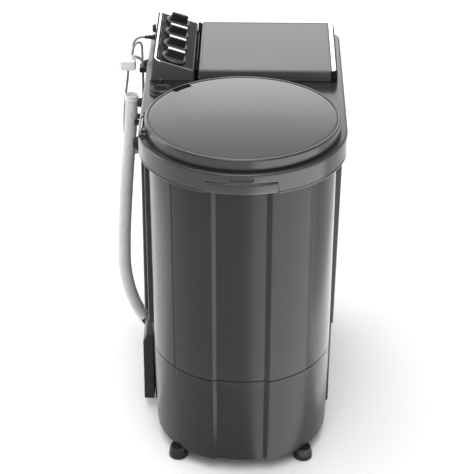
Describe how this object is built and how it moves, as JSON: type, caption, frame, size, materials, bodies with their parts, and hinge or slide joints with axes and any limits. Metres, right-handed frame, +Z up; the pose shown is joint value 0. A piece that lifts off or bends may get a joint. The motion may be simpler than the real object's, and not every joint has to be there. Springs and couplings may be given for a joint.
{
  "type": "semi-automatic twin-tub washing machine",
  "caption": "Free-standing twin-tub washing machine: round wash tub with a lid, spinner with a flat lid, sloping control box, drain hose and power cord at the back.",
  "frame": {"origin": "middle of the machine's footprint on the floor, without the cord and hose", "axes": "+X from the wash tub to the spinner, -Y towards the user, +Z up"},
  "size_m": [0.7795, 0.5355, 0.852],
  "materials": {
    "body_plastic": "satin",
    "deck_plastic": "satin",
    "lid_gloss": "gloss",
    "black_plastic": "matte",
    "bright_trim": "polished",
    "tub_plastic": "satin",
    "steel": "satin",
    "casing": "matte",
    "rubber": "matte",
    "hose_plastic": "satin",
    "cord_pvc": "satin",
    "plug_plastic": "satin"
  },
  "bodies": {
    "cabinet_body": {"base": "body_plastic", "foot_1": "rubber", "foot_2": "rubber", "foot_3": "rubber", "foot_4": "rubber", "cabinet": "body_plastic", "rear_panel": "body_plastic", "rear_cover": "black_plastic", "top_cover": "deck_plastic", "carry_handle": "deck_plastic", "wash_tub": "tub_plastic", "gearbox": "casing", "wash_motor": "casing", "spin_tub": "tub_plastic", "spin_motor": "casing", "spin_spring_1": "steel", "spin_spring_2": "steel", "spin_spring_3": "steel", "bellows_seal": "rubber", "drain_valve": "tub_plastic", "control_box": "black_plastic", "wash_timer": "casing", "spin_timer": "casing", "inlet_tray": "black_plastic", "inlet_funnel": "black_plastic", "wall_spacer_1": "rubber", "wall_spacer_2": "rubber", "wall_spacer_3": "rubber", "wall_spacer_4": "rubber", "cord_clip": "black_plastic", "hose_clip": "black_plastic", "strain_relief": "rubber", "hose_outlet": "black_plastic", "wash_lid_pin": "steel", "spin_lid_pin": "steel", "drive_belt": "rubber", "power_cord": "cord_pvc", "cord_hank": "cord_pvc", "plug_tail": "cord_pvc", "plug": "plug_plastic", "drain_hose": "hose_plastic", "hose_cuff": "hose_plastic"},
    "wash_lid": {"wash_lid_ring": "body_plastic", "wash_lid_panel": "lid_gloss"},
    "spin_lid": {"spin_lid": "body_plastic", "spin_lid_panel": "lid_gloss", "spin_lid_trim": "bright_trim"},
    "pulsator": {"pulsator": "tub_plastic"},
    "wash_shaft": {"wash_pulley": "steel"},
    "motor_shaft": {"motor_pulley": "steel"},
    "spin_basket": {"spin_basket": "steel", "spin_safety_mat": "tub_plastic", "brake_drum": "casing"},
    "brake_lever": {"brake_lever": "steel"},
    "lint_filter": {"lint_filter": "tub_plastic"},
    "valve_plunger": {"valve_plunger": "rubber"},
    "knob_wash_timer": {"knob_wash_timer": "black_plastic"},
    "knob_wash_mode": {"knob_wash_mode": "black_plastic"},
    "knob_drain": {"knob_drain": "black_plastic"},
    "knob_spin_timer": {"knob_spin_timer": "black_plastic"}
  },
  "joints": [
    {"name": "wash_lid_hinge", "type": "hinge", "parent": "cabinet_body", "child": "wash_lid", "pos_m": [-0.1605, 0.208, 0.793], "axis": [-1, 0, 0], "range_deg": [0, 95]},
    {"name": "spin_lid_hinge", "type": "hinge", "parent": "cabinet_body", "child": "spin_lid", "pos_m": [0.2293, 0.0985, 0.8082], "axis": [-1, 0, 0], "range_deg": [0, 84]},
    {"name": "motor_spin", "type": "hinge", "parent": "cabinet_body", "child": "motor_shaft", "pos_m": [-0.0105, -0.1215, 0.05], "axis": [0, 0, 1], "continuous": true},
    {"name": "wash_shaft_spin", "type": "hinge", "parent": "cabinet_body", "child": "wash_shaft", "pos_m": [-0.1605, -0.0115, 0.05], "axis": [0, 0, 1], "continuous": true},
    {"name": "pulsator_spin", "type": "hinge", "parent": "cabinet_body", "child": "pulsator", "pos_m": [-0.1605, -0.0115, 0.3], "axis": [0, 0, 1], "continuous": true},
    {"name": "basket_spin", "type": "hinge", "parent": "cabinet_body", "child": "spin_basket", "pos_m": [0.2293, -0.06655, 0.36], "axis": [0, 0, 1], "continuous": true},
    {"name": "brake_swing", "type": "hinge", "parent": "cabinet_body", "child": "brake_lever", "pos_m": [0.2843, -0.02655, 0.235], "axis": [0, 0, -1], "range_deg": [0, 2.2]},
    {"name": "lint_filter_slide", "type": "slide", "parent": "cabinet_body", "child": "lint_filter", "axis": [0, -1, 0], "range_m": [0, 0.05]},
    {"name": "valve_slide", "type": "slide", "parent": "cabinet_body", "child": "valve_plunger", "axis": [0, 0, 1], "range_m": [0, 0.012]},
    {"name": "knob_wash_timer_turn", "type": "hinge", "parent": "cabinet_body", "child": "knob_wash_timer", "pos_m": [0.1229, 0.151, 0.82348], "axis": [0, 0.2957, -0.9553], "range_deg": [0, 300]},
    {"name": "knob_wash_mode_turn", "type": "hinge", "parent": "cabinet_body", "child": "knob_wash_mode", "pos_m": [0.1949, 0.151, 0.82348], "axis": [0, 0.2957, -0.9553], "range_deg": [0, 90]},
    {"name": "knob_drain_turn", "type": "hinge", "parent": "cabinet_body", "child": "knob_drain", "pos_m": [0.2669, 0.151, 0.82348], "axis": [0, 0.2957, -0.9553], "range_deg": [0, 90]},
    {"name": "knob_spin_timer_turn", "type": "hinge", "parent": "cabinet_body", "child": "knob_spin_timer", "pos_m": [0.3389, 0.151, 0.82348], "axis": [0, 0.2957, -0.9553], "range_deg": [0, 300]}
  ],
  "couplings": [
    {"joint": "wash_shaft_spin", "follows": "motor_spin", "ratio": 0.31429},
    {"joint": "pulsator_spin", "follows": "motor_spin", "ratio": 0.05238},
    {"joint": "brake_swing", "follows": "spin_lid_hinge", "ratio": 0.026},
    {"joint": "valve_slide", "follows": "knob_drain_turn", "m_per_rad": 0.007576}
  ]
}
